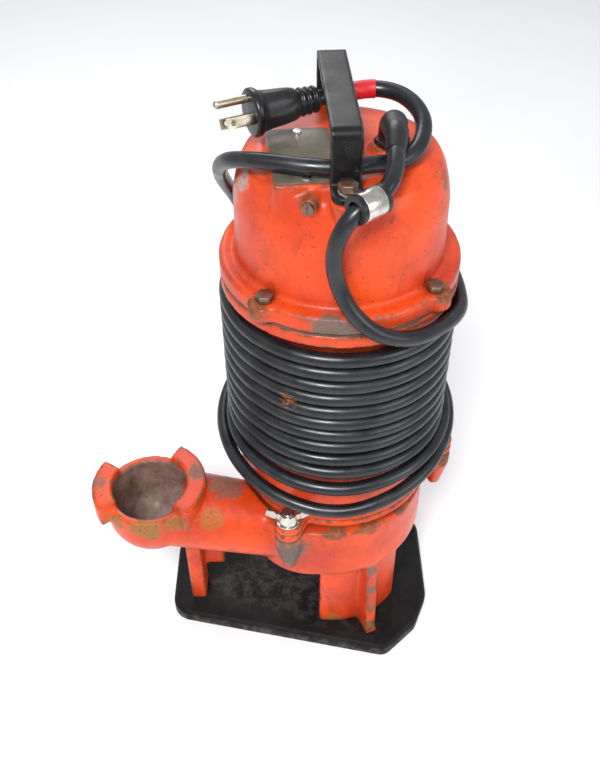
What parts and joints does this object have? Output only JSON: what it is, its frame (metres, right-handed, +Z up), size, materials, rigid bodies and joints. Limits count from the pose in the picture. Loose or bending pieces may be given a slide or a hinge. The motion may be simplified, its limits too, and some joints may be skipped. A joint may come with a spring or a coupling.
{
  "type": "submersible sewage pump",
  "caption": "Cast-iron submersible pump with an upward discharge, vertical motor, strap handle, base plate and supply cord wound round the motor.",
  "frame": {"origin": "on the motor shaft axis, at the underside of the base plate", "axes": "+Z up along the shaft axis, +X away from the discharge, -Y towards the side that the nameplate is read from"},
  "size_m": [0.2822, 0.1822, 0.471],
  "materials": {
    "red_paint": "orange-red enamel over cast iron, chipped to brown rust on its edges",
    "black_enamel": "black enamel, scuffed on its bevel",
    "black_strap": "semi-gloss black enamel on steel strap",
    "cord_jacket": "black rubber jacket, dusty",
    "black_rubber": "matt black rubber",
    "black_plastic": "moulded black plastic",
    "plug_vinyl": "moulded black vinyl",
    "red_tape": "red marker tape",
    "brass": "plain brass, dull",
    "bright_steel": "plain stainless steel",
    "dark_steel": "dark plated steel with some rust",
    "zinc_clip": "bright zinc plating, slightly rusty",
    "grey_label_metal": "dull grey-brown etched metal, blank",
    "gasket_fibre": "compressed fibre",
    "cast_iron": "bare cast iron",
    "lamination_steel": "stacked laminations",
    "cast_aluminium": "plain aluminium",
    "copper_wire": "varnished copper wire",
    "bearing_steel": "ground bearing steel",
    "cage_steel": "pressed steel",
    "ceramic": "white sintered ceramic",
    "carbon": "carbon graphite",
    "lead_insulation": "insulated wires"
  },
  "bodies": {
    "pump_body": {"base_plate": "black_enamel", "base_plate_screws": "dark_steel", "cap_bolts": "dark_steel", "cap_gasket": "gasket_fibre", "capacitor": "cast_aluminium", "capacitor_strap": "bright_steel", "clip_cushion": "black_rubber", "cord_band": "red_tape", "cord_clip": "zinc_clip", "cord_coil": "cord_jacket", "cord_lead_front": "cord_jacket", "cord_lead_rear": "cord_jacket", "gland_grommet": "black_rubber", "gland_nut": "black_plastic", "handle": "black_strap", "handle_bolts": "dark_steel", "internal_leads": "lead_insulation", "lower_bearing_outer": "bearing_steel", "motor_cap": "red_paint", "motor_housing": "red_paint", "nameplate": "grey_label_metal", "nameplate_screws": "bright_steel", "oil_fill_plug": "dark_steel", "overload_protector": "black_plastic", "plug_blades": "brass", "plug_body": "plug_vinyl", "plug_ground_pin": "brass", "seal_housing": "red_paint", "seal_seat": "ceramic", "seal_seat_cup": "black_rubber", "stator_core": "lamination_steel", "stator_windings": "copper_wire", "strain_relief": "black_rubber", "stud_washers": "bright_steel", "upper_bearing_bracket": "cast_iron", "upper_bearing_outer": "bearing_steel", "volute_casing": "red_paint", "volute_gasket": "gasket_fibre", "volute_studs": "bright_steel", "wave_washer": "bright_steel", "wing_nuts": "bright_steel"},
    "rotor": {"shaft": "bright_steel", "rotor_core": "lamination_steel", "rotor_end_rings": "cast_aluminium", "impeller": "cast_iron", "impeller_screw": "bright_steel", "impeller_washer": "bright_steel", "shaft_snap_ring": "dark_steel", "lower_bearing_inner": "bearing_steel", "upper_bearing_inner": "bearing_steel", "seal_carbon_face": "carbon", "seal_bellows": "black_rubber", "seal_spring": "bright_steel", "seal_retainer": "bright_steel"},
    "lower_bearing_set": {"lower_bearing_balls": "bearing_steel", "lower_bearing_cage": "cage_steel"},
    "upper_bearing_set": {"upper_bearing_balls": "bearing_steel", "upper_bearing_cage": "cage_steel"}
  },
  "joints": [
    {"name": "rotor_spin", "type": "hinge", "parent": "pump_body", "child": "rotor", "pos_m": [0, 0, 0.245], "axis": [0, 0, 1], "continuous": true},
    {"name": "lower_cage_spin", "type": "hinge", "parent": "pump_body", "child": "lower_bearing_set", "pos_m": [0, 0, 0.176], "axis": [0, 0, 1], "continuous": true},
    {"name": "upper_cage_spin", "type": "hinge", "parent": "pump_body", "child": "upper_bearing_set", "pos_m": [0, 0, 0.33], "axis": [0, 0, 1], "continuous": true}
  ],
  "couplings": [
    {"joint": "lower_cage_spin", "follows": "rotor_spin", "ratio": 0.3842},
    {"joint": "upper_cage_spin", "follows": "rotor_spin", "ratio": 0.3842}
  ]
}
